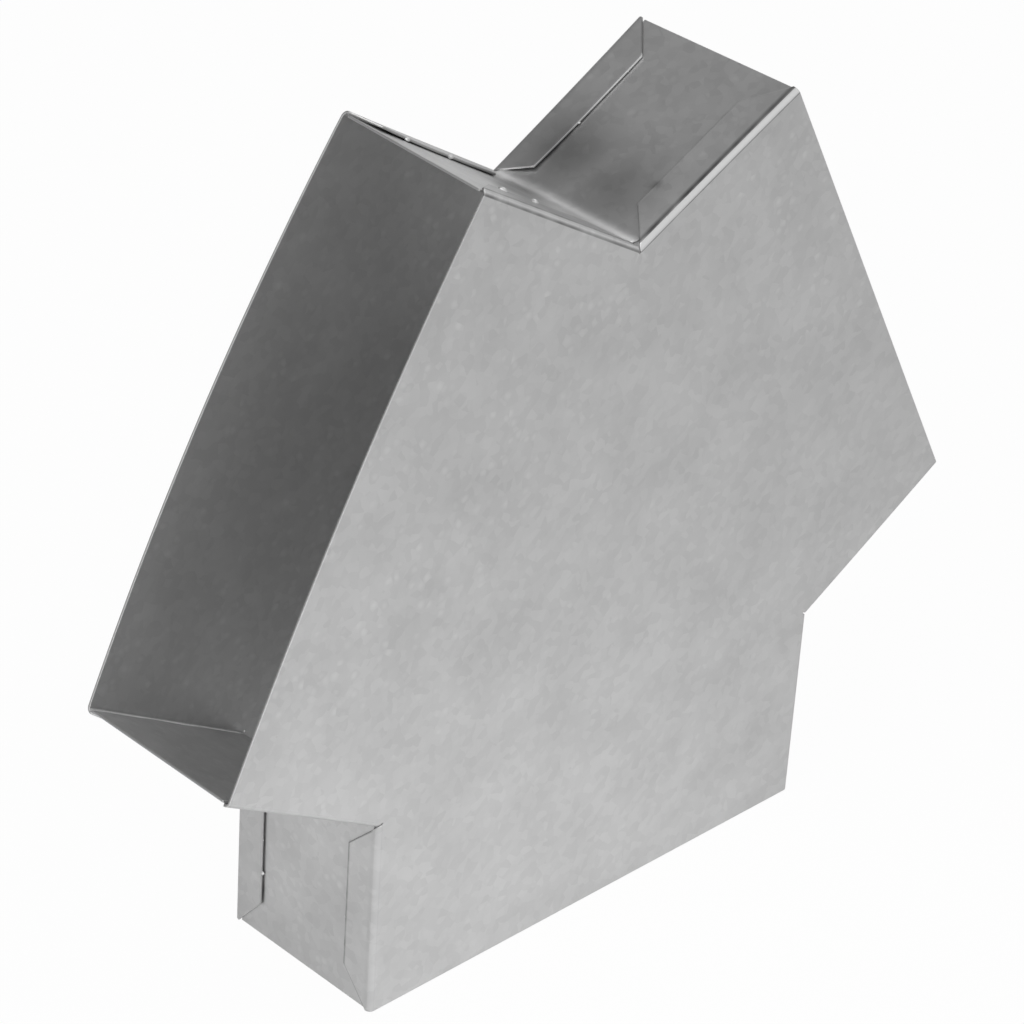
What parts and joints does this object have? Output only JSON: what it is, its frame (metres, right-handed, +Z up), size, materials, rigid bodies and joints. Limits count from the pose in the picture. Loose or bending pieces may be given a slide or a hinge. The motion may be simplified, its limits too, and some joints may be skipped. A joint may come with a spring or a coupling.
{
  "type": "duct y branch",
  "caption": "Y branch for flat rectangular ducts in folded galvanised sheet: equal open mouths round a flat junction, plate flanges lapped over bent wall strips and tacked with weld beads.",
  "frame": {"origin": "middle of the trunk mouth, on the plane of its rim", "axes": "+Z up along the trunk towards the junction, +X towards the right branch, the front plate faces -Y"},
  "size_m": [0.2488, 0.0512, 0.2155],
  "materials": {
    "galvanised_sheet": "dull zinc coating with a soft fine spangle",
    "weld_bead": "bare bright weld metal"
  },
  "bodies": {
    "root": {"front_plate": "galvanised_sheet", "back_plate": "galvanised_sheet", "crotch_wall": "galvanised_sheet", "left_wall": "galvanised_sheet", "right_wall": "galvanised_sheet", "tack_welds": "weld_bead"}
  },
  "joints": []
}
